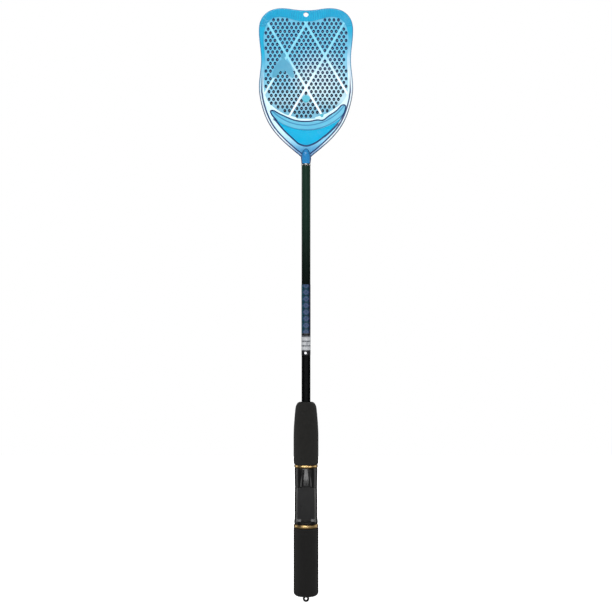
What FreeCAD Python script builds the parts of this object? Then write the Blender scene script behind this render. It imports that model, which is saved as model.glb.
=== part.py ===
import FreeCAD, Part

import math
import os

from FreeCAD import Vector

# Fly swatter on a fishing-rod handle: a moulded plastic paddle plugged into a
# straight glass-fibre shaft, with foam grips, a screw-lock reel seat and gold
# trim rings below. Millimetres, +Z up the shaft towards the paddle, the
# striking face towards -Y, origin at the centre of the hanging eye's hole.

# ---------------------------------------------------------------- driving dimensions

# Radii about the shaft's axis.
GRIP_RADIUS = 14.0
SEAT_RADIUS = 12.7
SLEEVE_RADIUS = 12.1
SHAFT_RADIUS = 4.95
SHAFT_BORE = 3.9
SEAT_BORE = 7.0
THREAD_CREST = 9.6
THREAD_ROOT = 8.9
THREAD_PITCH = 2.0
HOOD_BORE = 9.85
HOOD_NECK_RADIUS = 10.5
NUT_RADIUS = 11.9

# Stations up the shaft, counted from the eye's hole.
GRIP_END_Z = 3.5
SHAFT_BUTT_Z = 6.0
SEAT_END_Z = 67.5
LOWER_RING_Z = 79.5
SEAT_SHOULDER_Z = 84.0
FLAT_END_Z = 86.2
HOOD_EDGE_Z = 125.8
HOOD_TOP_Z = 146.8
THREAD_START_Z = 149.0
FOREGRIP_Z = 150.8
NUT_TOP_Z = 168.0
SEAT_TOP_Z = 182.0
FOREGRIP_TOP_Z = 220.3
LABEL_Z = 272.8
LABEL_LENGTH = 79.0
SHAFT_TIP_Z = 484.6
NECK_Z = 487.1
NECK_TOP_Z = 494.6

# Gaps between pieces.
GLUE_GAP = 0.05
RUNNING_GAP = 0.15

# The flat for a reel's foot: how far it lies from the axis, and half its width in
# the pocket under the fixed lip.
FLAT_DEPTH = 8.4
FOOT_HALF_WIDTH = 5.5

# Keys of the hood and the keyways of the seat: half width, inner face from the axis.
KEY_HALF = 1.6
KEY_INNER = 8.55
KEY_GAP = 0.12

# Neck of the hood and the snap ring on it: heights above the hood's top.
HOOD_NECK_LENGTH = 8.2
SNAP_LOW = 5.7
SNAP_HIGH = 6.7

# Eye at the butt, and the plug that holds its screw.
EYE_HOLE_RADIUS = 1.35
EYE_WIRE_RADIUS = 1.2
EYE_RING_RADIUS = 2.4
EYE_SHANK_RADIUS = 1.05
EYE_THREAD_RADIUS = 1.5
EYE_THREAD_PITCH = 1.2
EYE_SHANK_HOLE = 1.7
PLUG_TOP_Z = 32.0

# Paddle: half thicknesses of its zones, and the openings in it.
BORDER_HALF = 1.6
WEB_HALF = 0.9
APRON_HALF = 1.1
PAN_SHALLOW_HALF = 0.8
PAN_DEEP_HALF = 0.35
PAN_GROOVE_RADIUS = 0.8
PAN_CREASE_Z = 524.5
PAN_CREASE_RADIUS = 58.0
HANGING_HOLE_RADIUS = 2.75
HANGING_HOLE_Z = 653.9

# Mesh of the paddle: holes on a slanted lattice, in rows HOLE_ROW apart.
LATTICE_Z = 607.8
HOLE_PITCH = 5.04
HOLE_ROW = 4.27
HOLE_MOUTH = (1.55, 1.95)
HOLE_WAIST = (0.2, 0.28)
HOLE_BACK = (0.95, 1.25)
WAIST_Y = 0.3
CELL_STEPS = 8
RIB_EXTRA_STEPS = 0.4
RIB_WIDTH = 2.4
RIB_HEIGHT = 0.65
PAD_HEIGHT = 0.75

# Raised rounds on the paddle: x, z and radius.
GATE_PAD = (0.0, 559.6, 4.2)
PIP = (17.7, 541.0, 1.9)

SMALL = 0.01


# ---------------------------------------------------------------- small tools


def turned(profile):
    """Solid of revolution about Z from (radius, z) corners."""
    corners = [Vector(r, 0, z) for r, z in profile]
    face = Part.Face(Part.makePolygon(corners + corners[:1]))
    return face.revolve(Vector(0, 0, 0), Vector(0, 0, 1), 360)


def tube(outer, inner, low, high):
    """Round tube on the shaft's axis."""
    return turned([(inner, low), (outer, low), (outer, high), (inner, high)])


def rod(radius, low, high):
    """Round bar on the shaft's axis."""
    return Part.makeCylinder(radius, high - low, Vector(0, 0, low))


def block(x, y, z):
    """Box from three (low, high) pairs."""
    size = [high - low for low, high in (x, y, z)]
    return Part.makeBox(*size, Vector(x[0], y[0], z[0]))


def cross_bar(radius, x, z, y_low, y_high):
    """Round bar along Y."""
    return Part.makeCylinder(radius, y_high - y_low, Vector(x, y_low, z), Vector(0, 1, 0))


def rounded(solid, fillet, radius, heights):
    """Fillet of the full circles of this radius about Z at these heights."""

    def chosen(edge):
        curve = edge.Curve
        if not isinstance(curve, Part.Circle) or abs(curve.Radius - radius) > SMALL:
            return False
        return any(abs(curve.Center.z - z) < SMALL for z in heights)

    return solid.makeFillet(fillet, [edge for edge in solid.Edges if chosen(edge)])


def round_ended_bar(radius, start, end):
    """Round bar between two points, with half a ball on each end."""
    along = end - start
    bar = Part.makeCylinder(radius, along.Length, start, along)
    return bar.fuse([Part.makeSphere(radius, start), Part.makeSphere(radius, end)])


def thread_ridge(section, pitch, low, high, phase=0.0):
    """Helical ridge: section is (radius, height) corners of the ridge's profile."""
    helix = Part.makeHelix(pitch, high - low, section[0][0])
    corners = [Vector(r, 0, h) for r, h in section]
    profile = Part.makePolygon(corners + corners[:1])
    ridge = Part.Wire(helix).makePipeShell([profile], True, True)
    if ridge.Volume < 0:
        ridge.reverse()
    ridge.rotate(Vector(0, 0, 0), Vector(0, 0, 1), phase)
    ridge.translate(Vector(0, 0, low))
    return ridge


# ---------------------------------------------------------------- outlines of the paddle


def curve_through(points, start, end):
    """Smooth edge in the XZ plane through (x, z) points, leaving and arriving along
    the given (x, z) directions."""
    curve = Part.BSplineCurve()
    curve.interpolate(
        Points=[Vector(x, 0, z) for x, z in points],
        InitialTangent=Vector(start[0], 0, start[1]),
        FinalTangent=Vector(end[0], 0, end[1]),
    )
    return curve.toShape()


def two_sided_outline(right_points, left_points, start, end):
    """Closed outline from two halves, each given from the top down as if on the right;
    a straight line joins them where their ends stand apart."""
    right = curve_through(right_points, start, end)
    left = curve_through(left_points, start, end).mirror(Vector(0, 0, 0), Vector(1, 0, 0))
    edges = [right, left]
    for x, z in (right_points[0], right_points[-1]):
        if x > SMALL:
            edges.append(Part.makeLine(Vector(x, 0, z), Vector(-x, 0, z)))
    return Part.Wire(Part.__sortEdges__(edges))


def mirrored_outline(points, start, end):
    """Closed outline that is the same on both sides."""
    return two_sided_outline(points, points, start, end)


def slab(wire, back, front):
    """The wire's inside, as a plate from y = back to y = front."""
    face = Part.Face(wire)
    face.translate(Vector(0, back, 0))
    return face.extrude(Vector(0, front - back, 0))


def paddle_outline():
    """Eared top, waisted sides, and a long taper down to the neck."""
    return mirrored_outline(
        [
            (0, 658.8),
            (29, 661.2),
            (43, 657.0),
            (51, 647.2),
            (52.8, 635),
            (50.3, 603),
            (52.7, 571),
            (50.0, 553.5),
            (45.4, 539.5),
            (38.2, 526.4),
            (30.7, 517.2),
            (21.6, 508.3),
            (10.4, 498.8),
            (5.6, NECK_TOP_Z),
        ],
        (60, 0),
        (-12, -11),
    )


def mesh_outline():
    """Edge of the perforated zone: it follows the border, and ends in a bowl below that
    leaves room for the crescent's longer right horn."""
    top = [(0, 646.2), (27, 651.3), (38.8, 648.8), (45.8, 638.5), (45.9, 603), (47.4, 572)]
    right_bowl = [(45.2, 562.6), (41.6, 556.8), (35.6, 551.2), (28.8, 546.6), (20.8, 542.2)]
    left_bowl = [(45.2, 562.5), (41.6, 555.6), (35.3, 549.5), (28.5, 545.0), (20.5, 541.3)]
    bottom = [(10.3, 538.5), (0, 537.4)]
    return two_sided_outline(top + right_bowl + bottom, top + left_bowl + bottom, (40, 0), (-30, 0))


def apron_outline():
    """Sunk zone below the mesh, inside the bead that runs down both sides. Its top
    line lies within the mesh zone and its bottom line within the neck."""
    return mirrored_outline(
        [
            (43.6, 591),
            (47.9, 582),
            (49.5, 571),
            (47.0, 554.4),
            (42.5, 540.8),
            (35.5, 528.0),
            (28.4, 519.4),
            (19.5, 510.6),
            (8.4, 501.1),
            (3.0, 496.5),
        ],
        (20, -12),
        (-12, -11),
    )


def crescent_outline():
    """The crescent-shaped pan in the apron, horns up. Its right horn is the longer
    one, and its top edge dips round a small pip."""
    left_horn = [(-39.4, 544.6), (-39.3, 546.2), (-37.5, 546.6)]
    top = [(-32.3, 544.2), (-24.8, 540.5), (-17.4, 537.2), (-9.9, 535.0), (-1, 534.2), (7, 534.8)]
    dip = [(13, 535.9), (19, 535.7), (24, 539.2), (31.2, 544.1), (37.2, 549.4)]
    right_horn = [(41.4, 552.8), (43.8, 552.2), (44.2, 549.4)]
    lower = [(40.9, 540.6), (33.4, 530.6), (23.7, 521.1), (12.5, 512.5), (5.5, 508.4)]
    points = left_horn + top + dip + right_horn + lower + [(0, 507.4)]
    points += [(-5.5, 508.6), (-13.6, 515.1), (-21.1, 521.9), (-28.6, 530.1), (-34.6, 537.7)]
    curve = Part.BSplineCurve()
    curve.interpolate(Points=[Vector(x, 0, z) for x, z in points], PeriodicFlag=True)
    return Part.Wire(curve.toShape())


# ---------------------------------------------------------------- the paddle


def lattice_station(index):
    """Place of a hole along one slanted direction of the lattice, in steps from the
    middle cell's centre. Beyond a rib the holes move out to leave room for it."""
    station = index + 0.5
    if abs(station) > CELL_STEPS / 2:
        station += math.copysign(RIB_EXTRA_STEPS, station)
    return station


def lattice_point(right, left):
    """Point of the XZ plane from its steps down to the right and down to the left."""
    x = (right - left) * HOLE_PITCH / 2
    z = LATTICE_Z - (right + left) * HOLE_ROW
    return x, z


def fly_ellipses():
    """Pad in the shape of a plain fly: (x, z, half width, half height, lean)."""
    x, z = -25.5, 597.5
    return [
        (x, z, 3.2, 9.0, 0),
        (x, z + 10.6, 3.0, 2.5, 0),
        (x - 6.2, z - 4.4, 3.6, 11.0, -27),
        (x + 6.2, z - 4.4, 3.6, 11.0, 27),
    ]


def in_pad(x, z, margin):
    """Whether a point is within margin of the fly pad or the round gate pad."""
    for cx, cz, a, b, lean in fly_ellipses():
        angle = math.radians(lean)
        u = (x - cx) * math.cos(angle) + (z - cz) * math.sin(angle)
        v = -(x - cx) * math.sin(angle) + (z - cz) * math.cos(angle)
        if (u / (a + margin)) ** 2 + (v / (b + margin)) ** 2 < 1:
            return True
    gx, gz, radius = GATE_PAD
    return math.hypot(x - gx, z - gz) < radius + margin


def elliptic_wire(x, z, a, b, y):
    """Ellipse parallel to the paddle, half sizes a across and b along the shaft."""
    wide, tall = (a, b) if a > b else (b, a)
    major = Vector(1, 0, 0) if a > b else Vector(0, 0, 1)
    minor = Vector(0, 0, 1) if a > b else Vector(1, 0, 0)
    centre = Vector(x, y, z)
    curve = Part.Ellipse(centre + major * wide, centre + minor * tall, centre)
    return Part.Wire(curve.toShape())


def funnel(narrow, y_narrow, wide, y_wide):
    """Tapered oval from one pair of half sizes to another, run on past its wide end."""
    run_on = 0.3
    grow = [(w - n) / abs(y_wide - y_narrow) for w, n in zip(wide, narrow)]
    mouth = [w + g * run_on for w, g in zip(wide, grow)]
    mouth_wire = elliptic_wire(0, 0, *mouth, y_wide + math.copysign(run_on, y_wide))
    return Part.makeLoft([mouth_wire, elliptic_wire(0, 0, *narrow, y_narrow)], True, True)


def mesh_hole():
    """Cutter for one hole: a mouth on the striking face, a waist and a smaller mouth
    behind."""
    front = funnel(HOLE_WAIST, WAIST_Y, HOLE_MOUTH, -WEB_HALF)
    back = funnel(HOLE_WAIST, WAIST_Y, HOLE_BACK, WEB_HALF)
    return front.fuse(back)


def mesh_holes(boundary):
    """All mesh holes that keep clear of the zone's edge and of the pads."""
    edge_margin, pad_margin = 1.65, 0.2
    face = Part.Face(boundary)
    one = mesh_hole()
    holes = []
    reach = range(-2 * CELL_STEPS, 2 * CELL_STEPS + 1)
    for i in reach:
        for j in reach:
            x, z = lattice_point(lattice_station(i), lattice_station(j))
            spot = Vector(x, 0, z)
            if not face.isInside(spot, SMALL, True) or in_pad(x, z, pad_margin):
                continue
            if Part.Vertex(spot).distToShape(boundary)[0] < edge_margin:
                continue
            hole = one.copy()
            hole.translate(spot)
            holes.append(hole)
    return holes


def ribs(zone):
    """Four crossing ribs on the striking face, between the cells of the lattice."""
    radius = ((RIB_WIDTH / 2) ** 2 + RIB_HEIGHT**2) / (2 * RIB_HEIGHT)
    axis_y = -WEB_HALF - RIB_HEIGHT + radius
    line, far = (CELL_STEPS + RIB_EXTRA_STEPS) / 2, 30.0
    bars = []
    for station in (line, -line):
        for ends in (((station, -far), (station, far)), ((-far, station), (far, station))):
            start, end = (Vector(x, axis_y, z) for x, z in (lattice_point(*steps) for steps in ends))
            bars.append(Part.makeCylinder(radius, (end - start).Length, start, end - start))
    return bars[0].fuse(bars[1:]).common(zone)


def raised_pads():
    """Pads that stand on the mesh and close the holes under them: the fly and the
    round gate pad."""
    depth = 2 * WEB_HALF + PAD_HEIGHT
    pads = []
    for x, z, a, b, lean in fly_ellipses():
        pad = Part.Face(elliptic_wire(x, z, a, b, WEB_HALF)).extrude(Vector(0, -depth, 0))
        pad.rotate(Vector(x, 0, z), Vector(0, -1, 0), lean)
        pads.append(pad)
    x, z, radius = GATE_PAD
    pads.append(cross_bar(radius, x, z, WEB_HALF - depth, WEB_HALF))
    return pads


def flutes(outline):
    """Grooves square to the outline across the top border and round its corners, on
    both faces; they grow shorter down the sides."""
    pitch, radius, depth, longest, count = 2.5, 0.9, 0.28, 9.5, 26
    axis_y = BORDER_HALF + radius - depth
    right = max(outline.Edges, key=lambda edge: edge.BoundBox.XMax)
    cutters = []
    for n, spot in enumerate(right.discretize(Distance=pitch)[:count]):
        along = right.tangentAt(right.Curve.parameter(spot))
        inward = Vector(along.z, 0, -along.x)
        if inward.dot(Vector(0, 0, LATTICE_Z) - spot) < 0:
            inward = inward * -1
        reach = inward * longest * (1 - 0.45 * n / count)
        for side in (-1, 1):
            start = spot + inward * 2.2 + Vector(0, side * axis_y, 0)
            cutter = round_ended_bar(radius, start, start + reach)
            cutters.append(cutter)
            if n:
                cutters.append(cutter.mirror(Vector(0, 0, 0), Vector(1, 0, 0)))
    return cutters


def neck():
    """Round neck below the paddle, its nose running up into the plate, and the long
    spigot that is glued into the shaft."""
    spigot_radius = SHAFT_BORE - GLUE_GAP
    return turned(
        [
            (0, 452),
            (spigot_radius - 0.6, 452),
            (spigot_radius, 453),
            (spigot_radius, NECK_Z),
            (SHAFT_RADIUS + 0.05, NECK_Z),
            (5.35, 489.6),
            (5.75, 493.6),
            (5.4, 496.8),
            (4.4, 499.8),
            (2.9, 502.4),
            (1.3, 503.9),
            (0, 504.3),
        ]
    )


def neck_grooves():
    """Grooves down the neck's front and back, to cut away."""
    cutters = []
    for side in (-1, 1):
        start = Vector(0, side * 6.3, NECK_Z + 2.0)
        end = Vector(0, side * 6.6, NECK_Z + 10.5)
        cutters.append(round_ended_bar(1.5, start, end))
    return cutters


def crescent_pan():
    """Cutters for the crescent: the round groove along its edge, its shallow floor,
    and the deeper floor below a crease that bends like the mesh's edge."""
    outline = crescent_outline()
    edge = outline.Edges[0]
    start = edge.valueAt(edge.FirstParameter)
    along = edge.tangentAt(edge.FirstParameter)
    ring = Part.Wire(Part.makeCircle(PAN_GROOVE_RADIUS, start, along))
    groove = outline.makePipeShell([ring], True, False)
    groove.translate(Vector(0, -APRON_HALF - 0.1, 0))
    shallow = slab(outline, -3.0, -PAN_SHALLOW_HALF)
    above_crease = cross_bar(PAN_CREASE_RADIUS, 1.5, PAN_CREASE_Z + PAN_CREASE_RADIUS, -4, 1)
    deep = slab(outline, -3.0, -PAN_DEEP_HALF).cut(above_crease)
    return [groove, shallow, deep]


def swatter_head():
    outline = paddle_outline()
    boundary = mesh_outline()
    plate = slab(outline, -BORDER_HALF, BORDER_HALF)
    rim = [e for e in plate.Edges if abs(e.CenterOfMass.y) > BORDER_HALF - SMALL and e.Length > 20]
    plate = plate.makeFillet(BORDER_HALF - 0.15, rim)

    far = BORDER_HALF + 1
    apron = apron_outline()
    plate = plate.cut(
        [
            slab(boundary, -far, -WEB_HALF),
            slab(boundary, WEB_HALF, far),
            slab(apron, -far, -APRON_HALF),
            slab(apron, APRON_HALF, far),
        ]
    )
    plate = plate.fuse([ribs(slab(boundary, -far, 0)), neck()])
    hanger = cross_bar(HANGING_HOLE_RADIUS, 0, HANGING_HOLE_Z, -far, far)
    plate = plate.cut([hanger] + crescent_pan() + neck_grooves() + flutes(outline))
    plate = plate.cut(mesh_holes(boundary))
    x, z, radius = PIP
    pip = cross_bar(radius, x, z, -BORDER_HALF - 0.1, APRON_HALF)
    return plate.fuse(raised_pads() + [pip])


# ---------------------------------------------------------------- the shaft


def tip_ring():
    outer = SHAFT_RADIUS + 0.25
    low, high = SHAFT_TIP_Z + GLUE_GAP, NECK_Z - GLUE_GAP
    ring = tube(outer, SHAFT_BORE + GLUE_GAP, low, high)
    return rounded(ring, 0.7, outer, [low, high])


def rod_blank():
    blank = tube(SHAFT_RADIUS, SHAFT_BORE, SHAFT_BUTT_Z, SHAFT_TIP_Z)
    return rounded(blank, 0.3, SHAFT_RADIUS, [SHAFT_TIP_Z])


def shaft_label():
    film = 0.12
    inner = SHAFT_RADIUS + 0.02
    return tube(inner + film, inner, LABEL_Z, LABEL_Z + LABEL_LENGTH)


# ---------------------------------------------------------------- the reel seat


def reel_seat():
    shoulder_z = HOOD_EDGE_Z - 0.4
    body = turned(
        [
            (SEAT_BORE, SEAT_END_Z),
            (SLEEVE_RADIUS, SEAT_END_Z),
            (SLEEVE_RADIUS, SEAT_SHOULDER_Z),
            (12.6, SEAT_SHOULDER_Z),
            (13.2, 85.2),
            (13.25, 87.0),
            (12.8, 89.6),
            (SEAT_RADIUS, 93.0),
            (SEAT_RADIUS, 112.0),
            (SEAT_RADIUS - 0.25, shoulder_z),
            (THREAD_CREST, shoulder_z),
            (THREAD_CREST, HOOD_TOP_Z),
            (THREAD_ROOT, HOOD_TOP_Z + 0.8),
            (THREAD_ROOT, SEAT_TOP_Z - 0.6),
            (THREAD_ROOT - 0.6, SEAT_TOP_Z),
            (SEAT_BORE, SEAT_TOP_Z),
        ]
    )
    ridge = thread_ridge(
        [(THREAD_ROOT - 0.3, -0.6), (THREAD_CREST, -0.3), (THREAD_CREST, 0.3), (THREAD_ROOT - 0.3, 0.6)],
        THREAD_PITCH,
        THREAD_START_Z,
        SEAT_TOP_Z - 1.6,
    )
    body = body.fuse(ridge)
    return body.cut([foot_flat(), foot_pocket()] + keyways(0.0))


def foot_flat():
    """Cutter for the flat that a reel's foot lies on; a round ramp ends it below."""
    ramp, out, side = 4.5, 20.0, 16.0
    low, high = FLAT_END_Z, HOOD_TOP_Z - 4
    slant = ramp * (1 - math.sqrt(0.5))
    bottom = Vector(-side, -FLAT_DEPTH - ramp, low)
    middle = Vector(-side, -FLAT_DEPTH - slant, low + slant)
    start = Vector(-side, -FLAT_DEPTH, low + ramp)
    corners = [Vector(-side, -y, z) for y, z in ((FLAT_DEPTH, high), (out, high), (out, low))]
    straight = Part.makePolygon([start] + corners + [bottom])
    profile = Part.Wire([Part.Arc(bottom, middle, start).toShape()] + straight.Edges)
    return Part.Face(profile).extrude(Vector(2 * side, 0, 0))


def foot_pocket():
    """Cutter for the pocket under the fixed lip that takes the foot's lower end."""
    low, high = SEAT_SHOULDER_Z - 8, FLAT_END_Z + 5
    room = block((-FOOT_HALF_WIDTH, FOOT_HALF_WIDTH), (-20, -FLAT_DEPTH), (low, high))
    return rod(SEAT_RADIUS - 1.5, low, high).common(room)


def keyways(clearance):
    """Bars on both sides of the seat: slots in the seat, and less a clearance the
    hood's keys that slide in them."""
    half, inner = KEY_HALF - clearance, KEY_INNER + clearance
    bars = []
    for side in (-1, 1):
        x = sorted((side * inner, side * 11))
        bars.append(block(x, (-half, half), (HOOD_EDGE_Z + 0.6, SEAT_TOP_Z + 1)))
    return bars


def bulge_loft(sections):
    """Loft through circles (z, centre y, radius)."""
    wires = [
        Part.Wire(Part.makeCircle(radius, Vector(0, y, z), Vector(0, 0, 1)))
        for z, y, radius in sections
    ]
    return Part.makeLoft(wires, True)


def hood_shell():
    """Turned body of the hood, with the neck that carries ring, snap ring and nut."""
    low, high, neck_top = HOOD_EDGE_Z, HOOD_TOP_Z, HOOD_TOP_Z + HOOD_NECK_LENGTH
    return turned(
        [
            (HOOD_BORE, low),
            (SEAT_RADIUS - 0.25, low),
            (SEAT_RADIUS + 0.05, high - 8),
            (SEAT_RADIUS + 0.15, high - 0.8),
            (SEAT_RADIUS - 0.2, high),
            (HOOD_NECK_RADIUS, high),
            (HOOD_NECK_RADIUS, neck_top),
            (HOOD_BORE, neck_top),
        ]
    )


def hood_mouth():
    """Cutter that lifts the hood's lower edge in an arch over the reel's foot."""
    rise, half = 2.6, 7.0
    radius = (half**2 + rise**2) / (2 * rise)
    return cross_bar(radius, 0, HOOD_EDGE_Z + rise - radius, -20, -6)


def moving_hood():
    low, high = HOOD_EDGE_Z, HOOD_TOP_Z
    bulge = bulge_loft(
        [(low, -8.2, 6.9), (low + 7, -8.2, 6.6), (low + 14, -8.3, 5.7), (high - 0.5, -8.5, 4.6)]
    )
    foot_room = bulge_loft([(low - 2, -7.8, 5.9), (low + 8, -7.6, 5.3), (low + 13, -6.6, 3.6)])
    snap_groove = tube(12, 10.05, high + SNAP_LOW - 0.1, high + SNAP_HIGH + 0.1)
    bore = rod(HOOD_BORE, low - 1, high + HOOD_NECK_LENGTH + 1)
    shell = hood_shell().fuse(bulge).cut([bore, foot_room, hood_mouth(), snap_groove])
    key_room = tube(HOOD_BORE + 0.4, KEY_INNER, low + 9, high - 1)
    return shell.fuse([bar.common(key_room) for bar in keyways(KEY_GAP)])


def upper_trim_ring():
    return trim_ring(HOOD_NECK_RADIUS, GRIP_RADIUS - 0.75, HOOD_TOP_Z, FOREGRIP_Z, 1.5)


def lower_trim_ring():
    return trim_ring(SLEEVE_RADIUS, GRIP_RADIUS - 0.2, LOWER_RING_Z, SEAT_SHOULDER_Z, 1.6)


def trim_ring(inner, outer, low, high, corner):
    """Metal ring pressed on a collar, with both outer edges rounded over."""
    low, high = low + GLUE_GAP, high - GLUE_GAP
    ring = tube(outer, inner + GLUE_GAP, low, high)
    return rounded(ring, corner, outer, [low, high])


def snap_ring():
    """Split spring ring that ties the lock nut to the hood's neck and lets it turn."""
    low, high = HOOD_TOP_Z + SNAP_LOW, HOOD_TOP_Z + SNAP_HIGH
    gap = block((-1.6, 1.6), (9, 12), (low - 1, high + 1))
    return tube(10.95, 10.12, low, high).cut(gap)


def lock_nut():
    collar = HOOD_NECK_RADIUS + RUNNING_GAP
    bore = THREAD_CREST + RUNNING_GAP
    crest = THREAD_ROOT + RUNNING_GAP
    step_z = HOOD_TOP_Z + HOOD_NECK_LENGTH + 0.4
    groove = 11.2
    groove_low, groove_high = HOOD_TOP_Z + SNAP_LOW - 0.3, HOOD_TOP_Z + SNAP_HIGH + 0.3
    nut = turned(
        [
            (collar, FOREGRIP_Z),
            (NUT_RADIUS, FOREGRIP_Z),
            (NUT_RADIUS, NUT_TOP_Z),
            (bore, NUT_TOP_Z),
            (bore, step_z),
            (collar, step_z),
            (collar, groove_high),
            (groove, groove_high),
            (groove, groove_low),
            (collar, groove_low),
        ]
    )
    start = step_z + 0.8
    ridge = thread_ridge(
        [(bore + 0.3, -0.6), (bore + 0.3, 0.6), (crest, 0.3), (crest, -0.3)],
        THREAD_PITCH,
        start,
        NUT_TOP_Z - 0.8,
        nut_phase(start),
    )
    glue_grooves = [tube(NUT_RADIUS + 1, NUT_RADIUS - 0.35, z, z + 1.4) for z in (158.3, 161.3, 164.3)]
    return nut.fuse(ridge).cut(glue_grooves)


def nut_phase(start):
    """Turn, in degrees, that puts the nut's ridge midway between the seat's ridges."""
    turns = (start - THREAD_START_Z) / THREAD_PITCH + 0.5
    return 360.0 * (turns % 1.0)


# ---------------------------------------------------------------- grips and butt


def foregrip_foam():
    profile = [
        (NUT_RADIUS + GLUE_GAP, FOREGRIP_Z),
        (12.9, FOREGRIP_Z),
        (13.7, FOREGRIP_Z + 0.9),
        (13.9, FOREGRIP_Z + 3),
        (GRIP_RADIUS, 170),
        (GRIP_RADIUS, 181),
        (13.7, 192),
        (12.9, 203),
        (12.1, 211.5),
        (11.3, 216),
        (9.6, 219),
        (7.6, FOREGRIP_TOP_Z),
        (SHAFT_RADIUS + 0.2, FOREGRIP_TOP_Z),
        (SHAFT_RADIUS + 0.2, SEAT_TOP_Z + 2),
        (THREAD_CREST + 0.3, SEAT_TOP_Z + 2),
        (THREAD_CREST + 0.3, NUT_TOP_Z + GLUE_GAP),
        (NUT_RADIUS + GLUE_GAP, NUT_TOP_Z + GLUE_GAP),
    ]
    return turned(profile)


def rear_grip_foam():
    foam = rod(GRIP_RADIUS, GRIP_END_Z, LOWER_RING_Z)
    foam = rounded(foam, 4.4, GRIP_RADIUS, [GRIP_END_Z])
    foam = rounded(foam, 0.6, GRIP_RADIUS, [LOWER_RING_Z])
    return foam.cut(
        [
            rod(EYE_SHANK_HOLE, GRIP_END_Z - 1, SHAFT_BUTT_Z + 1),
            rod(SHAFT_RADIUS + GLUE_GAP, SHAFT_BUTT_Z - GLUE_GAP, LOWER_RING_Z),
            rod(SLEEVE_RADIUS + GLUE_GAP, SEAT_END_Z - GLUE_GAP, LOWER_RING_Z + 1),
        ]
    )


def arbor(low, high):
    """Bush between shaft and seat, with glue grooves round its outside."""
    outer, inner = SEAT_BORE - GLUE_GAP, SHAFT_RADIUS + GLUE_GAP
    count, half_width = 4, 0.9
    step = (high - low) / (count + 1)
    middles = [low + n * step for n in range(1, count + 1)]
    grooves = [tube(outer + 1, outer - 0.5, z - half_width, z + half_width) for z in middles]
    return tube(outer, inner, low, high).cut(grooves)


def front_arbor():
    return arbor(140, 178)


def rear_arbor():
    return arbor(69, 107)


def butt_plug():
    radius = SHAFT_BORE - GLUE_GAP
    plug = rounded(rod(radius, SHAFT_BUTT_Z, PLUG_TOP_Z), 0.5, radius, [PLUG_TOP_Z])
    return plug.cut(rod(EYE_THREAD_RADIUS + GLUE_GAP, SHAFT_BUTT_Z - 1, PLUG_TOP_Z - 7.5))


def screw_eye():
    ring = Part.makeTorus(EYE_RING_RADIUS, EYE_WIRE_RADIUS, Vector(0, 0, 0), Vector(0, 1, 0))
    start, end, tip = 2.2, 21.5, 23.6
    shank = turned([(0, start), (EYE_SHANK_RADIUS, start), (EYE_SHANK_RADIUS, end), (0.1, tip), (0, tip)])
    ridge = thread_ridge([(0.8, -0.45), (EYE_THREAD_RADIUS, 0), (0.8, 0.45)], EYE_THREAD_PITCH, 8.5, end - 1)
    eye = ring.fuse([shank, ridge])
    return eye.cut(cross_bar(EYE_HOLE_RADIUS, 0, 0, -3, 3))


# ---------------------------------------------------------------- write the pieces

PIECES = [
    swatter_head,
    tip_ring,
    rod_blank,
    shaft_label,
    reel_seat,
    moving_hood,
    upper_trim_ring,
    lower_trim_ring,
    snap_ring,
    lock_nut,
    foregrip_foam,
    rear_grip_foam,
    front_arbor,
    rear_arbor,
    butt_plug,
    screw_eye,
]

os.makedirs("parts", exist_ok=True)
for piece in PIECES:
    shape = piece()
    good = shape.isValid() and all(s.isClosed() for s in shape.Shells)
    print(f"{piece.__name__}: {len(shape.Solids)} solid, {shape.Volume:.0f} mm3, sound {good}")
    shape.exportStep(f"parts/{piece.__name__}.step")
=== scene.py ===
"""Looks of a fly swatter on a fishing-rod handle: materials, foam grips and a small
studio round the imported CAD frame. Metres, +Z up the shaft, striking face towards -Y."""

import math

import bpy
import numpy as np
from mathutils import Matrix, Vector, noise


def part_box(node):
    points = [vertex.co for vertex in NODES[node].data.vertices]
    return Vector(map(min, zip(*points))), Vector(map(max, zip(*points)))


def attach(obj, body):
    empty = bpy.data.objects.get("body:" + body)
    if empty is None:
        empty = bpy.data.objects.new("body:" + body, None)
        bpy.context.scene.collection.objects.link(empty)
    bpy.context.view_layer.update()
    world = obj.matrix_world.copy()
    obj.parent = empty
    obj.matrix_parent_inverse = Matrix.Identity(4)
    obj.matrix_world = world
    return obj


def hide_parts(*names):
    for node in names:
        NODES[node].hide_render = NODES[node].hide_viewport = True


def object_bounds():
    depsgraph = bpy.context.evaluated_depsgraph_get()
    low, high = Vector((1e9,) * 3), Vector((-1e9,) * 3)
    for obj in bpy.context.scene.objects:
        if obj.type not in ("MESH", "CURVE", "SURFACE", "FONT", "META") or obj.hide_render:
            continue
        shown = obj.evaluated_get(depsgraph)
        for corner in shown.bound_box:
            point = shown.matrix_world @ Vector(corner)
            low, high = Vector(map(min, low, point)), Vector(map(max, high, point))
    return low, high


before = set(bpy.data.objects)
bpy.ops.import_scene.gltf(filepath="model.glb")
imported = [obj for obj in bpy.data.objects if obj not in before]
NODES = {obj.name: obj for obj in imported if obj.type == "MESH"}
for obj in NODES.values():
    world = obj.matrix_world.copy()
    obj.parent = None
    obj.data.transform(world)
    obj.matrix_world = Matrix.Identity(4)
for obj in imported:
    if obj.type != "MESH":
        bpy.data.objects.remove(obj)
cad_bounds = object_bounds()

MM = 0.001

# ---------------------------------------------------------------- places, from the frame

HEAD_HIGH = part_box("swatter_head")[1]
SHAFT_LOW, SHAFT_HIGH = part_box("rod_blank")
LABEL_LOW, LABEL_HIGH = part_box("shaft_label")
SEAT_LOW, SEAT_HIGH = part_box("reel_seat")
NUT_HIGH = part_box("lock_nut")[1]
LOWEST_Z = cad_bounds[0].z
HIGHEST_Z = cad_bounds[1].z
MIDDLE_Z = (LOWEST_Z + HIGHEST_Z) / 2

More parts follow.
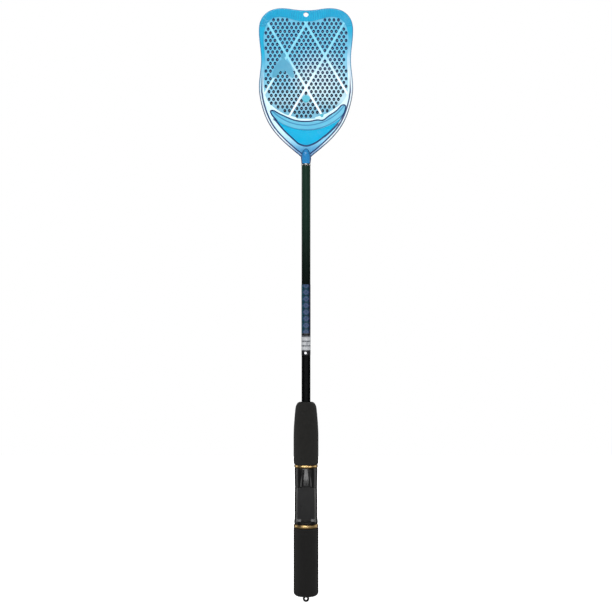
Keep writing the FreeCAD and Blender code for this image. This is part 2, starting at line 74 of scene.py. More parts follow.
# Levels of the head's flat faces, as distances from its middle plane. Two levels
# closer together than the slack count as one.
BORDER_LEVEL = 1.6 * MM
APRON_LEVEL = 1.1 * MM
WEB_LEVEL = 0.9 * MM
SHALLOW_LEVEL = 0.8 * MM
DEEP_LEVEL = 0.35 * MM
PAD_LEVEL = 1.8 * MM
LEVEL_SLACK = 0.04 * MM

# Heights on the paddle, measured up from the shaft's tip or down from the head's top.
TIP_Z = SHAFT_HIGH.z
NECK_Z = TIP_Z + 9.0 * MM
NECK_TOP_Z = TIP_Z + 19.8 * MM
PAN_LOW_Z = TIP_Z + 21.8 * MM
CREASE_Z = TIP_Z + 39.9 * MM
PAN_TURN_Z = TIP_Z + 50.0 * MM
APRON_TURN_Z = TIP_Z + 56.0 * MM
PAN_HIGH_Z = TIP_Z + 71.4 * MM
BOWL_TOP_Z = TIP_Z + 88.4 * MM
APRON_TOP_Z = TIP_Z + 108.0 * MM
WEB_TOP_Z = TIP_Z + 116.0 * MM
MESH_TOP_Z = HEAD_HIGH.z - 9.0 * MM
FLUTES_LOW_Z = HEAD_HIGH.z - 24.0 * MM
FLUTES_HIGH_Z = HEAD_HIGH.z - 3.5 * MM
FLUTES_HALF_WIDTH = 44.0 * MM

# The pan: half the width along which its lower edge is drawn, and the crease's radius.
PAN_HALF_WIDTH = 38.0 * MM
CREASE_RADIUS = 58.0 * MM

# The perforated zone, as a box above and a bowl below, and its top edge as distances
# from the middle and depths below the head's top.
MESH_HALF_WIDTH = 47.5 * MM
MESH_TOP_EDGE = np.array([(0.0, 27.0, 38.8, 45.8), (15.5, 10.4, 12.9, 23.0)]) * MM
BOWL_DEPTH = 36.0 * MM

# The painted glare on the mesh: a highlight painted pale into the colour.
PAINTED_GLARE_CENTRE = (14.0 * MM, TIP_Z + 93.0 * MM)
PAINTED_GLARE_SIZE = (42.0 * MM, 40.0 * MM)

# The seat's flat, in the frame's Y and Z.
FLAT_NEAR_Y = -8.75 * MM
FLAT_FAR_Y = -8.0 * MM
FLAT_LOW_Z = SEAT_LOW.z + 20.5 * MM
FLAT_HIGH_Z = SEAT_LOW.z + 56.5 * MM


# ---------------------------------------------------------------- node trees


class Nodes:
    """Short calls that build the node tree of a material or the world."""

    def __init__(self, tree):
        self.tree = tree
        tree.nodes.clear()

    def feed(self, socket, value):
        """Links value to the socket, or sets it if it is a plain value."""
        if isinstance(value, bpy.types.NodeSocket):
            self.tree.links.new(value, socket)
        else:
            socket.default_value = value

    def add(self, kind, settings=None, **inputs):
        """New shader node, with its settings and inputs by name."""
        node = self.tree.nodes.new("ShaderNode" + kind)
        for key, value in (settings or {}).items():
            setattr(node, key, value)
        for key, value in inputs.items():
            self.feed(node.inputs[key.replace("_", " ")], value)
        return node

    def math(self, operation, *values):
        node = self.add("Math", {"operation": operation})
        for socket, value in zip(node.inputs, values):
            self.feed(socket, value)
        return node.outputs[0]

    def place(self):
        """(x, y, z) of the shaded point in the object's frame."""
        spot = self.add("TexCoord").outputs["Object"]
        split = self.add("SeparateXYZ", Vector=spot)
        return spot, split.outputs[0], split.outputs[1], split.outputs[2]

    def step(self, value, start, end):
        """Smooth 0 to 1 as value goes from start to end."""
        settings = {"interpolation_type": "SMOOTHSTEP"}
        node = self.add("MapRange", settings, Value=value, From_Min=start, From_Max=end)
        return node.outputs[0]

    def oval(self, x, z, centre, size, inner, outer):
        """1 within an ellipse of the XZ plane, falling smoothly to 0 outside it."""
        u = self.math("DIVIDE", self.math("SUBTRACT", x, centre[0]), size[0])
        v = self.math("DIVIDE", self.math("SUBTRACT", z, centre[1]), size[1])
        distance = self.math("SQRT", self.math("ADD", self.math("POWER", u, 2.0), self.math("POWER", v, 2.0)))
        return self.step(distance, outer, inner)

    def blend_value(self, z, at_low, at_high):
        """Value that goes evenly from the neck's top to the bowl's top."""
        settings = {"interpolation_type": "LINEAR"}
        inputs = {"From_Min": NECK_TOP_Z, "From_Max": BOWL_TOP_Z, "To_Min": at_low, "To_Max": at_high}
        return self.add("MapRange", settings, Value=z, **inputs).outputs[0]

    def blend(self, factor, first, second):
        """Colour that goes from first to second as factor goes from 0 to 1."""
        node = self.add("Mix", {"data_type": "RGBA"})
        self.feed(node.inputs["Factor"], factor)
        self.feed(node.inputs[6], first)
        self.feed(node.inputs[7], second)
        return node.outputs[2]

    def speckle(self, spot, scale, detail=2.0, roughness=0.5):
        """Soft noise from 0 to 1, with scale cells to the metre."""
        node = self.add("TexNoise", Vector=spot, Scale=scale, Detail=detail, Roughness=roughness)
        return node.outputs[0]

    def read_off(self, value, points):
        """Height of the line through points, given as (place, height), at value."""
        start, end = points[0][0], points[-1][0]
        highest = max(height for _, height in points)
        along = self.add("MapRange", Value=value, From_Min=start, From_Max=end).outputs[0]
        node = self.add("FloatCurve", Value=along)
        curve = node.mapping.curves[0]
        span = end - start
        places = [((place - start) / span, height / highest) for place, height in points]
        curve.points[0].location = places[0]
        curve.points[1].location = places[-1]
        for place in places[1:-1]:
            curve.points.new(*place)
        node.mapping.update()
        return self.math("MULTIPLY", node.outputs[0], highest)

    def bump(self, height, strength, distance, normal=None):
        node = self.add("Bump", Height=height, Strength=strength, Distance=distance)
        if normal is not None:
            self.feed(node.inputs["Normal"], normal)
        return node.outputs[0]

    def principled(self, **inputs):
        shader = self.add("BsdfPrincipled", **inputs)
        output = self.add("OutputMaterial")
        self.feed(output.inputs["Surface"], shader.outputs[0])
        return shader


def colour(red, green, blue):
    """Linear colour from the 0 to 255 values that a screen shows."""
    shares = [value / 255 for value in (red, green, blue)]
    linear = [s / 12.92 if s <= 0.04045 else ((s + 0.055) / 1.055) ** 2.4 for s in shares]
    return (*linear, 1.0)


def new_material(name):
    material = bpy.data.materials.new(name)
    material.use_nodes = True
    return material, Nodes(material.node_tree)


# ---------------------------------------------------------------- the head's plastic


def face_values(mesh, key, width):
    """Row of width values of each face, such as its centre."""
    values = np.zeros(len(mesh.polygons) * width)
    mesh.polygons.foreach_get(key, values)
    return values.reshape(-1, width)


def bead_edge():
    """Inner edge of the bead down the paddle's sides, as (height, half width), read off
    the upright wall between bead and apron."""
    mesh = NODES["swatter_head"].data
    x, y, z = face_values(mesh, "center", 3).T
    facing = np.abs(face_values(mesh, "normal", 3)[:, 1])
    wall = (facing < 0.3) & (y < -APRON_LEVEL - 0.05 * MM) & (y > -BORDER_LEVEL + 0.05 * MM)
    levels = np.linspace(NECK_TOP_Z - 7 * MM, BOWL_TOP_Z, 22)
    points = []
    for low, high in zip(levels, levels[1:]):
        here = wall & (z >= low) & (z < high)
        widest = np.abs(x[here]).max() if here.any() else points[-1][1]
        near = here & (np.abs(x) > widest - 3 * MM)
        points.append((z[near].mean(), np.abs(x[near]).mean()))
    (z0, x0), (z1, x1) = points[:2]
    return [(2 * z0 - z1, 2 * x0 - x1)] + points


def bead_shade_line(tree, x, z):
    """1 on the dark line of painted shade along the bead's inner edge, about 1.7 mm wide."""
    width = tree.read_off(z, BEAD_EDGE)
    offset = tree.math("ABSOLUTE", tree.math("SUBTRACT", tree.math("ABSOLUTE", x), width))
    across = tree.math("MULTIPLY", offset, tree.blend_value(z, 0.7, 1.0))
    return tree.step(across, 1.05 * MM, 0.65 * MM)


def pan_edge():
    """Lower edge of the crescent-shaped pan, as (x, height), read off its wall. The
    lowest heights that count rise with the distance from the middle, which leaves out
    the grooves of the neck."""
    mesh = NODES["swatter_head"].data
    x, y, z = face_values(mesh, "center", 3).T
    facing = np.abs(face_values(mesh, "normal", 3)[:, 1])
    level = -y
    lowest = PAN_LOW_Z + 0.25 * np.abs(x) + 12.0 * x**2
    wall = (facing < 0.9) & (level > DEEP_LEVEL) & (level < APRON_LEVEL)
    wall &= (np.abs(x) < PAN_HALF_WIDTH) & (z > lowest) & (z < PAN_HIGH_Z)
    columns = np.linspace(-PAN_HALF_WIDTH, PAN_HALF_WIDTH, 24)
    points = []
    for left, right in zip(columns, columns[1:]):
        here = wall & (x >= left) & (x < right)
        if here.any():
            low = here & (z < z[here].min() + 1.5 * MM)
            points.append((x[low].mean(), z[low].mean()))
    return points


def pan_shade_line(tree, x, z):
    """1 on the dark line of painted shade along the pan's lower edge, about 2 mm wide. The edge leans
    more the further it is from the middle, so heights above it count for less there."""
    height = tree.read_off(x, PAN_EDGE)
    away = tree.math("ABSOLUTE", x)
    settings = {"interpolation_type": "LINEAR"}
    inputs = {"From_Min": 4 * MM, "From_Max": PAN_HALF_WIDTH, "To_Min": 1.0, "To_Max": 0.55}
    lean = tree.add("MapRange", settings, Value=away, **inputs).outputs[0]
    offset = tree.math("MULTIPLY", tree.math("SUBTRACT", z, height), lean)
    across = tree.math("ABSOLUTE", tree.math("ADD", offset, 0.3 * MM))
    inside = tree.step(away, PAN_HALF_WIDTH, PAN_HALF_WIDTH - 3 * MM)
    return tree.math("MULTIPLY", tree.step(across, 1.25 * MM, 0.75 * MM), inside)


def crease_shade_streaks(tree, x, z):
    """1 on two curved dark lines of painted shade above the crease between the pan's two levels."""
    up = tree.math("SUBTRACT", z, CREASE_Z + CREASE_RADIUS)
    reach = tree.math("SQRT", tree.math("ADD", tree.math("POWER", x, 2.0), tree.math("POWER", up, 2.0)))
    above = tree.math("SUBTRACT", CREASE_RADIUS, reach)
    first = tree.math("ABSOLUTE", tree.math("SUBTRACT", above, 0.4 * MM))
    second = tree.math("ABSOLUTE", tree.math("SUBTRACT", above, 5.6 * MM))
    return tree.math("ADD", tree.step(first, 0.9 * MM, 0.3 * MM), tree.step(second, 1.0 * MM, 0.3 * MM))


def rim_shade(tree, body, z, rim):
    """Body darkened with painted shade, from the first to the second share of rim, on faces that turn
    away from the front; the shade is lighter near the head's top."""
    normal = tree.add("SeparateXYZ", Vector=tree.add("NewGeometry").outputs["Normal"]).outputs[1]
    turned = tree.step(tree.math("ABSOLUTE", normal), rim[0], rim[1])
    edge = tree.blend(tree.step(z, TIP_Z + 120 * MM, TIP_Z + 72 * MM), RIM_SHADE_LIGHT, RIM_SHADE_DARK)
    return tree.blend(tree.math("MULTIPLY", turned, 0.92), body, edge)


def head_body(tree, x, z, flow, deep, pale, turn_z, fade, glare):
    """Colour of the moulding: deep above turn_z and pale a fade below it, pale too in
    the glare, with faint flow marks and a thicker blue near the neck. The fade and the
    glare are painted light, a painted sheen and a painted highlight on one blue plastic."""
    slanted = tree.math("MULTIPLY_ADD", x, -0.25, z)
    # Painted light: paler towards the lower right, and in the oval of the painted glare.
    painted_paleness = tree.step(slanted, turn_z, turn_z - fade)
    if glare:
        shine = tree.oval(x, z, PAINTED_GLARE_CENTRE, PAINTED_GLARE_SIZE, 0.2, 1.1)
        painted_paleness = tree.math("MAXIMUM", painted_paleness, tree.math("MULTIPLY", shine, glare))
    body = tree.blend(painted_paleness, deep, pale)
    shade = tree.math("MULTIPLY", tree.step(flow, 0.35, 0.75), 0.12)
    body = tree.blend(shade, body, FLOW_BLUE)
    thick = tree.step(z, TIP_Z + 30 * MM, TIP_Z + 14 * MM)
    return tree.blend(tree.math("MULTIPLY", thick, 0.75), body, THICK_BLUE)


def head_plastic(
    name,
    deep,
    pale,
    turn_z,
    fade,
    roughness=0.16,
    glare=0.0,
    low_tint=None,
    line=0.0,
    pan=0.0,
    streaks=0.0,
    rim=None,
):
    """Glossy blue moulding. The dark lines and turned edges are painted shade, standing in for
    where translucent plastic lets least light out: line, pan and streaks are the strengths of the
    painted dark lines along the bead, along the pan's lower edge and above its crease, and rim
    paints shade on the turned edges. low_tint is the colour of the lower part."""
    material, tree = new_material(name)
    spot, x, _, z = tree.place()
    flow = tree.speckle(spot, 90.0, 3.0)
    body = head_body(tree, x, z, flow, deep, pale, turn_z, fade, glare)
    if low_tint:
        body = tree.blend(tree.step(z, TIP_Z + 78 * MM, TIP_Z + 60 * MM), body, low_tint)
    if line:
        low = tree.step(z, TIP_Z + 112 * MM, TIP_Z + 80 * MM)
        strength = tree.math("MULTIPLY", bead_shade_line(tree, x, z), tree.math("MULTIPLY", low, line))
        body = tree.blend(strength, body, BEAD_SHADE_NAVY)
    if pan:
        body = tree.blend(tree.math("MULTIPLY", pan_shade_line(tree, x, z), pan), body, PAN_SHADE_NAVY)
    if streaks:
        strength = tree.math("MULTIPLY", crease_shade_streaks(tree, x, z), streaks)
        body = tree.blend(strength, body, STREAK_SHADE_BLUE)
    if rim:
        body = rim_shade(tree, body, z, rim)
    grain = tree.speckle(spot, 900.0, 2.0)
    ripple = tree.bump(flow, 0.1, 0.4 * MM, tree.bump(grain, 0.05, 0.05 * MM))
    tree.principled(
        Base_Color=body,
        Roughness=tree.math("MULTIPLY_ADD", flow, 0.1, roughness - 0.05),
        IOR=1.45,
        Specular_IOR_Level=0.4,
        Subsurface_Weight=0.12,
        Subsurface_Radius=(0.4, 0.8, 1.0),
        Subsurface_Scale=1.0 * MM,
        Normal=ripple,
    )
    return material


def painted_shade_wall(name, light, dark, turn_z, fade, shine):
    """Wall of a hole or groove, painted dark as painted shade in the hollow: the light colour above
    turn_z, and the dark one a fade below it."""
    material, tree = new_material(name)
    spot, _, _, z = tree.place()
    depth = tree.step(z, turn_z, turn_z - fade)
    flow = tree.speckle(spot, 300.0)
    body = tree.blend(depth, light, dark)
    body = tree.blend(tree.math("MULTIPLY", flow, 0.08), body, colour(50, 100, 150))
    tree.principled(Base_Color=body, Roughness=0.3, IOR=1.45, Specular_IOR_Level=shine)
    return material


BEAD_EDGE = bead_edge()
PAN_EDGE = pan_edge()
FLOW_BLUE = colour(16, 92, 160)
THICK_BLUE = colour(36, 116, 172)
# Painted shade: colours of the dark lines along the bead, the pan's lower edge and the crease.
BEAD_SHADE_NAVY = colour(12, 44, 96)
PAN_SHADE_NAVY = colour(14, 48, 98)
STREAK_SHADE_BLUE = colour(30, 104, 156)
# Painted shade on the turned edges: lighter near the top, darker lower down.
RIM_SHADE_LIGHT = colour(58, 132, 176)
RIM_SHADE_DARK = colour(10, 38, 88)

# Each zone's fade from deep to pale and its glare are painted light; its dark lines and turned edges are
# painted shade.
HEAD_MATERIALS = {
    "border": lambda: head_plastic(
        "head_border",
        colour(34, 168, 206),
        colour(222, 236, 242),
        TIP_Z + 141 * MM,
        66 * MM,
        line=0.95,
        rim=(0.985, 0.9),
    ),
    # The flutes' slanted facets get their own, darker colours: painted shade that draws them as stripes.
    "flute": lambda: head_plastic(
        "head_flute", colour(44, 150, 196), colour(120, 190, 216), WEB_TOP_Z, 45 * MM
    ),
    "web": lambda: head_plastic(
        "head_web",
        colour(104, 184, 214),
        colour(188, 216, 226),
        TIP_Z + 120 * MM,
        70 * MM,
        roughness=0.2,
        glare=1.0,
        low_tint=colour(112, 172, 198),
    ),
    "rib": lambda: head_plastic(
        "head_rib", colour(140, 216, 238), colour(240, 250, 252), TIP_Z + 135 * MM, 60 * MM, glare=0.6
    ),
    "pad": lambda: head_plastic(
        "head_pad", colour(82, 158, 188), colour(74, 176, 196), WEB_TOP_Z, 45 * MM
    ),
    "apron": lambda: head_plastic(
        "head_apron", colour(208, 238, 250), colour(122, 194, 226), APRON_TURN_Z, 40 * MM, line=0.95, pan=0.95
    ),
    "shallow": lambda: head_plastic(
        "crescent_shallow",
        colour(98, 182, 210),
        colour(88, 178, 208),
        PAN_TURN_Z,
        16 * MM,
        pan=0.95,
        streaks=0.75,
    ),
    "deep": lambda: head_plastic(
        "crescent_deep", colour(0, 168, 210), colour(0, 168, 212), PAN_TURN_Z, 20 * MM, pan=0.95
    ),
    "neck": lambda: head_plastic(
        "head_neck", colour(62, 150, 204), colour(54, 146, 200), NECK_TOP_Z, 12 * MM, rim=(0.85, 0.35)
    ),
    # Hole walls and the pan's groove get painted shade.
    "hole": lambda: painted_shade_wall(
        "hole_wall", colour(10, 48, 88), colour(8, 26, 50), TIP_Z + 125 * MM, 50 * MM, 0.1
    ),
    "groove": lambda: painted_shade_wall(
        "pan_groove", colour(14, 48, 98), colour(10, 40, 90), APRON_TURN_Z, 30 * MM, 0.3
    ),
}


def head_zones(centres, normals):
    """Name of each face's zone on the head, from its centre and normal."""
    x, y, z = centres.T
    level = np.abs(y)
    facing = np.abs(normals[:, 1])
    flat = facing > 0.97
    front = y < 0

    def near(distance):
        return np.abs(level - distance) < LEVEL_SLACK

    upper = (np.abs(x) < MESH_HALF_WIDTH) & (z > BOWL_TOP_Z) & (z < MESH_TOP_Z)
    bowl = (x / MESH_HALF_WIDTH) ** 2 + ((BOWL_TOP_Z - z) / BOWL_DEPTH) ** 2 < 1
    in_mesh = upper | (bowl & (z <= BOWL_TOP_Z))
    zones = np.full(len(x), "border", dtype=object)
    zones[(z < NECK_TOP_Z) & (level > BORDER_LEVEL + LEVEL_SLACK)] = "neck"
    zones[z < NECK_Z] = "neck"
    zones[flat & near(APRON_LEVEL) & (z < APRON_TOP_Z)] = "apron"
    zones[flat & near(WEB_LEVEL) & (in_mesh | (z < WEB_TOP_Z))] = "web"
    zones[flat & front & near(SHALLOW_LEVEL)] = "shallow"
    zones[flat & front & near(DEEP_LEVEL)] = "deep"
    zones[in_mesh & ~flat & (level < WEB_LEVEL - 0.01 * MM)] = "hole"
    below_top = z < HEAD_HIGH.z - np.interp(np.abs(x), *MESH_TOP_EDGE)
    raised = (level > WEB_LEVEL + LEVEL_SLACK) & (level < BORDER_LEVEL - 0.02 * MM)
    rib = in_mesh & front & raised & (facing > 0.6) & below_top
    zones[rib & (zones != "apron")] = "rib"
    zones[flat & front & (level > BORDER_LEVEL + 0.02 * MM) & (level < PAD_LEVEL)] = "pad"
    in_band = (z > FLUTES_LOW_Z) & (z < FLUTES_HIGH_Z) & (np.abs(x) < FLUTES_HALF_WIDTH) & ~below_top
    sloping = ~flat & (level > WEB_LEVEL) & (level < BORDER_LEVEL) & (facing > 0.7)
    zones[in_band & sloping & (zones == "border")] = "flute"
    sunk = front & (level < APRON_LEVEL - 0.02 * MM) & (z < PAN_HIGH_Z) & (z > NECK_TOP_Z)
    zones[sunk & ~in_mesh & (zones == "border")] = "groove"
    return zones


def dress_head():
    """Gives each face of the head the finish of its zone."""
    head = NODES["swatter_head"]
    mesh = head.data
    zones = head_zones(face_values(mesh, "center", 3), face_values(mesh, "normal", 3))
    mesh.materials.clear()
    names = list(HEAD_MATERIALS)
    for name in names:
        mesh.materials.append(HEAD_MATERIALS[name]())
    index = {name: n for n, name in enumerate(names)}
    mesh.polygons.foreach_set("material_index", [index[zone] for zone in zones])
    mesh.update()


# ---------------------------------------------------------------- finishes of the handle


def rod_glass():
    """Green-black lacquered glass fibre, with a faint spiral of wrapping tape under the
    lacquer."""
    material, tree = new_material("rod_glass")
    spot, x, y, z = tree.place()
    angle = tree.math("ARCTAN2", y, x)
    spiral = tree.math("SINE", tree.math("MULTIPLY_ADD", z, 2 * math.pi / (3.2 * MM), angle))
    # Partly painted light: over the dark green-black lacquer the colour goes from near black low on the shaft
    # to a lighter green towards the tip, where the light falls, and the gloss rises with it.
    height = tree.step(z, LABEL_HIGH.z - 30 * MM, TIP_Z)
    body = tree.blend(height, colour(3, 4, 5), colour(16, 44, 32))
    cloud = tree.speckle(spot, 160.0, 3.0)
    body = tree.blend(tree.math("MULTIPLY", cloud, 0.25), body, colour(6, 8, 8))
    tree.principled(
        Base_Color=body,
        Roughness=0.28,
        Specular_IOR_Level=tree.math("MULTIPLY_ADD", height, 0.3, 0.03),
        Normal=tree.bump(spiral, 0.12, 0.04 * MM),
    )
    return material


LABEL_ROW = 7.4 * MM
LABEL_SPLIT = 24.4 * MM
LABEL_BARS_TOP = 21.5 * MM
LABEL_BARS_LOW = 5.1 * MM
LABEL_FADE = 0.2 * MM


def label_film():
    """Printed film: teal ground with lavender lozenges and dark gaps above LABEL_SPLIT,
    and below it a dark band, pale bars and a dot. A plain pattern, with no lettering."""
    material, tree = new_material("label_film")
    spot, x, y, z = tree.place()
    up = tree.math("SUBTRACT", z, LABEL_LOW.z)
    angle = tree.math("ARCTAN2", x, tree.math("MULTIPLY", y, -1.0))
    around = tree.math("MULTIPLY", angle, SHAFT_HIGH.x)

    rows = tree.math("MULTIPLY", up, 1 / LABEL_ROW)
    row_place = tree.math("SUBTRACT", tree.math("FRACT", rows), 0.5)
    lozenge_size = tree.math(
        "ADD",
        tree.math("ABSOLUTE", tree.math("MULTIPLY", row_place, 2.2)),
        tree.math("ABSOLUTE", tree.math("MULTIPLY", around, 1 / (4.2 * MM))),
    )
    lozenge = tree.step(lozenge_size, 1.05, 0.85)
    core = tree.step(lozenge_size, 0.52, 0.4)
    gap = tree.step(tree.math("ABSOLUTE", row_place), 0.42, 0.47)
    side = tree.step(around, 2.4 * MM, 3.6 * MM)

    ground = tree.blend(side, colour(14, 56, 72), colour(10, 14, 44))
    printed = tree.blend(tree.math("MULTIPLY", lozenge, 0.9), ground, colour(62, 72, 104))
    printed = tree.blend(tree.math("MULTIPLY", core, 0.7), printed, colour(27, 62, 86))
    printed = tree.blend(tree.math("MULTIPLY", gap, 0.75), printed, colour(8, 18, 28))

    bars = tree.math("PINGPONG", up, 2.6 * MM)
    pale = tree.blend(tree.step(bars, 0.5 * MM, 0.9 * MM), colour(90, 92, 97), colour(166, 168, 171))
    notch = tree.oval(around, up, (1.2 * MM, 13.5 * MM), (1.3 * MM, 2.6 * MM), 0.8, 1.0)
    pale = tree.blend(tree.math("MULTIPLY", notch, 0.55), pale, colour(96, 98, 106))

    ink = colour(14, 15, 20)
    dot = tree.oval(around, up, (-0.6 * MM, 2.4 * MM), (1.5 * MM, 1.5 * MM), 0.85, 1.0)
    foot = tree.blend(dot, ink, colour(226, 226, 228))
    below = tree.blend(tree.step(up, LABEL_BARS_LOW - LABEL_FADE, LABEL_BARS_LOW + LABEL_FADE), foot, pale)
    past_bars = tree.step(up, LABEL_BARS_TOP - LABEL_FADE, LABEL_BARS_TOP + LABEL_FADE)
    before_split = tree.step(up, LABEL_SPLIT + LABEL_FADE, LABEL_SPLIT - LABEL_FADE)
    below = tree.blend(tree.math("MULTIPLY", past_bars, before_split), below, ink)
    body = tree.blend(tree.step(up, LABEL_SPLIT - LABEL_FADE, LABEL_SPLIT + LABEL_FADE), below, printed)
    scuff = tree.speckle(spot, 1400.0, 2.0)
    body = tree.blend(tree.math("MULTIPLY", scuff, 0.16), body, ink)
    tree.principled(
        Base_Color=body,
        Roughness=tree.math("MULTIPLY_ADD", scuff, 0.1, 0.22),
        Specular_IOR_Level=0.2,
        Normal=tree.bump(scuff, 0.1, 0.02 * MM),
    )
    return material


def turned_metal(name, bright, dull, roughness, pitch=0.35 * MM):
    """Metal with fine turning lines round the axis and a little tarnish."""
    material, tree = new_material(name)
    spot, _, _, z = tree.place()
    lines = tree.math("SINE", tree.math("MULTIPLY", z, 2 * math.pi / pitch))
    stain = tree.speckle(spot, 260.0, 4.0, 0.6)
    body = tree.blend(tree.step(stain, 0.45, 0.8), bright, dull)
    tree.principled(
        Base_Color=body,
        Metallic=1.0,
        Roughness=tree.math("MULTIPLY_ADD", stain, 0.1, roughness - 0.03),
        Normal=tree.bump(lines, 0.06, 0.02 * MM),
    )
    return material


def seat_plastic(name, roughness):
    """Gloss-black filled nylon: a fine orange-peel skin, duller on the flat, where the colour
    is painted greyer as a painted reflection."""
    material, tree = new_material(name)
    spot, _, y, z = tree.place()
    skin = tree.speckle(spot, 700.0, 2.0)
    cloud = tree.speckle(spot, 120.0, 3.0)
    above = tree.step(z, FLAT_LOW_Z, FLAT_LOW_Z + 1.0 * MM)
    below = tree.step(z, FLAT_HIGH_Z + 3.0 * MM, FLAT_HIGH_Z)
    behind = tree.step(y, FLAT_NEAR_Y, FLAT_NEAR_Y + 0.3 * MM)
    in_front = tree.step(y, FLAT_FAR_Y, FLAT_FAR_Y - 0.3 * MM)
    deep_enough = tree.math("MULTIPLY", behind, in_front)
    painted_sheen_on_flat = tree.math("MULTIPLY", deep_enough, tree.math("MULTIPLY", above, below))
    body = tree.blend(cloud, colour(7, 7, 7), colour(12, 12, 12))
    # Painted reflection: the flat is painted greyer.
    body = tree.blend(painted_sheen_on_flat, body, colour(14, 14, 15))
    rough = tree.math("MULTIPLY_ADD", cloud, 0.12, roughness)
    rough = tree.math("ADD", rough, tree.math("MULTIPLY", painted_sheen_on_flat, 0.08))
    tree.principled(
        Base_Color=body,
        Roughness=rough,
        IOR=1.5,
        Coat_Weight=0.2,
        Coat_Roughness=0.1,
        Normal=tree.bump(skin, 0.08, 0.04 * MM),
    )
    return material


def nut_plastic():
    """Plain black nylon of the hidden nut, with glue smears."""
    material, tree = new_material("nut_plastic")
    spot, _, _, _ = tree.place()
    smear = tree.speckle(spot, 220.0, 4.0)
    body = tree.blend(tree.step(smear, 0.55, 0.7), colour(22, 22, 23), colour(64, 60, 52))
    tree.principled(Base_Color=body, Roughness=0.45, Normal=tree.bump(smear, 0.2, 0.1 * MM))
    return material


def foam(name, dark, light, pore=1900.0):
    """Closed-cell foam, ground round: matt, with fine pores and a faint mottle."""
    material, tree = new_material(name)
    spot, _, _, _ = tree.place()
    cells = tree.add("TexVoronoi", {"feature": "F1"}, Vector=spot, Scale=pore).outputs["Distance"]
    fine = tree.speckle(spot, 3200.0, 3.0, 0.7)
    mottle = tree.speckle(spot, 240.0, 4.0, 0.6)
    pits = tree.step(cells, 0.1, 0.55)
    body = tree.blend(mottle, dark, light)
    body = tree.blend(tree.math("MULTIPLY", tree.step(fine, 0.55, 0.75), 0.35), body, colour(58, 57, 54))
    # Painted shade: the pores are darker at their centres.
    body = tree.blend(tree.math("MULTIPLY", tree.step(cells, 0.22, 0.05), 0.6), body, colour(10, 10, 10))
    relief = tree.bump(pits, 0.5, 0.12 * MM, tree.bump(fine, 0.35, 0.08 * MM))
    tree.principled(
        Base_Color=body,
        Roughness=0.9,
        Specular_IOR_Level=0.25,
        Sheen_Weight=0.04,
        Sheen_Roughness=0.6,
        Normal=relief,
    )
    return material


def wood():
    """Pale dowel with grain along the shaft, for the plug."""
    material, tree = new_material("plug_wood")
    spot, _, _, _ = tree.place()
    stretched = tree.add("Mapping", Vector=spot, Scale=(1.0, 1.0, 0.08)).outputs[0]
    grain = tree.speckle(stretched, 1100.0, 5.0, 0.6)
    body = tree.blend(tree.step(grain, 0.35, 0.7), colour(196, 160, 112), colour(150, 112, 70))
    tree.principled(Base_Color=body, Roughness=0.6, Normal=tree.bump(grain, 0.3, 0.05 * MM))
    return material


def dark_steel():
    """Blackened steel wire, worn a little brighter on its high spots."""
    material, tree = new_material("dark_steel")
    spot, _, _, _ = tree.place()
    wear = tree.speckle(spot, 900.0, 4.0, 0.65)
    body = tree.blend(tree.step(wear, 0.5, 0.72), colour(26, 24, 22), colour(76, 70, 66))
    tree.principled(
        Base_Color=body,
        Metallic=1.0,
        Roughness=tree.math("MULTIPLY_ADD", wear, 0.2, 0.22),
        Normal=tree.bump(wear, 0.15, 0.05 * MM),
    )
    return material


def dress(node, material):
    """Puts one finish on a whole CAD node."""
    for slot in NODES[node].material_slots:
        slot.material = material


def dress_handle():
    """Gives every CAD node below the head its finish."""
    gold = turned_metal("gold_trim", colour(228, 192, 132), colour(200, 164, 104), 0.3)
    arbor = foam("arbor_foam", colour(205, 200, 188), colour(228, 224, 214), 1200.0)
    dress("tip_ring", turned_metal("bright_metal", colour(205, 206, 202), colour(150, 152, 150), 0.24))
    dress("rod_blank", rod_glass())
    dress("shaft_label", label_film())
    dress("reel_seat", seat_plastic("seat_plastic", 0.16))
    dress("moving_hood", seat_plastic("hood_plastic", 0.24))
    dress("upper_trim_ring", gold)
    dress("lower_trim_ring", gold)
    dress("snap_ring", turned_metal("spring_steel", colour(180, 182, 186), colour(120, 122, 126), 0.3))
    dress("lock_nut", nut_plastic())
    dress("front_arbor", arbor)
    dress("rear_arbor", arbor)
    dress("butt_plug", wood())
    dress("screw_eye", dark_steel())


# ---------------------------------------------------------------- foam grips


def between(before, start, end, after, t):
    """Catmull-Rom value at share t of the way from start to end."""
    slope = (end - before) * t
    bend = (2 * before - 5 * start + 4 * end - after) * t**2
    twist = (3 * start - before - 3 * end + after) * t**3
    return 0.5 * (2 * start + slope + bend + twist)


def smooth_line(points, steps):
    """Curve through (radius, z) points, with steps points to each stretch."""
    line = []
    padded = [points[0]] + points + [points[-1]]
    for stretch in zip(padded, padded[1:], padded[2:], padded[3:]):
        for n in range(steps):
            line.append(tuple(between(*values, n / steps) for values in zip(*stretch)))
    return line + [points[-1]]


def straight_line(start, end, spacing):
    """Points from start to just before end, about spacing apart."""
    length = math.dist(start, end)
    count = max(1, round(length / spacing))
    return [tuple(s + (e - s) * n / count for s, e in zip(start, end)) for n in range(count)]


def lathe(name, loop, segments=320):
    """Closed solid of revolution about the shaft's axis from a closed (radius, z) loop."""
    turns = [2 * math.pi * n / segments for n in range(segments)]
    vertices = [(r * math.cos(a), r * math.sin(a), z) for r, z in loop for a in turns]
    rows = len(loop)
    faces = []
    for row in range(rows):
        above = (row + 1) % rows
        for n in range(segments):
            beside = (n + 1) % segments
            corners = [(row, n), (row, beside), (above, beside), (above, n)]
            faces.append([i * segments + j for i, j in corners])
    mesh = bpy.data.meshes.new(name)
    mesh.from_pydata(vertices, [], faces)
    mesh.shade_smooth()
    mesh.update()
    piece = bpy.data.objects.new(name, mesh)
    bpy.context.scene.collection.objects.link(piece)
    return piece


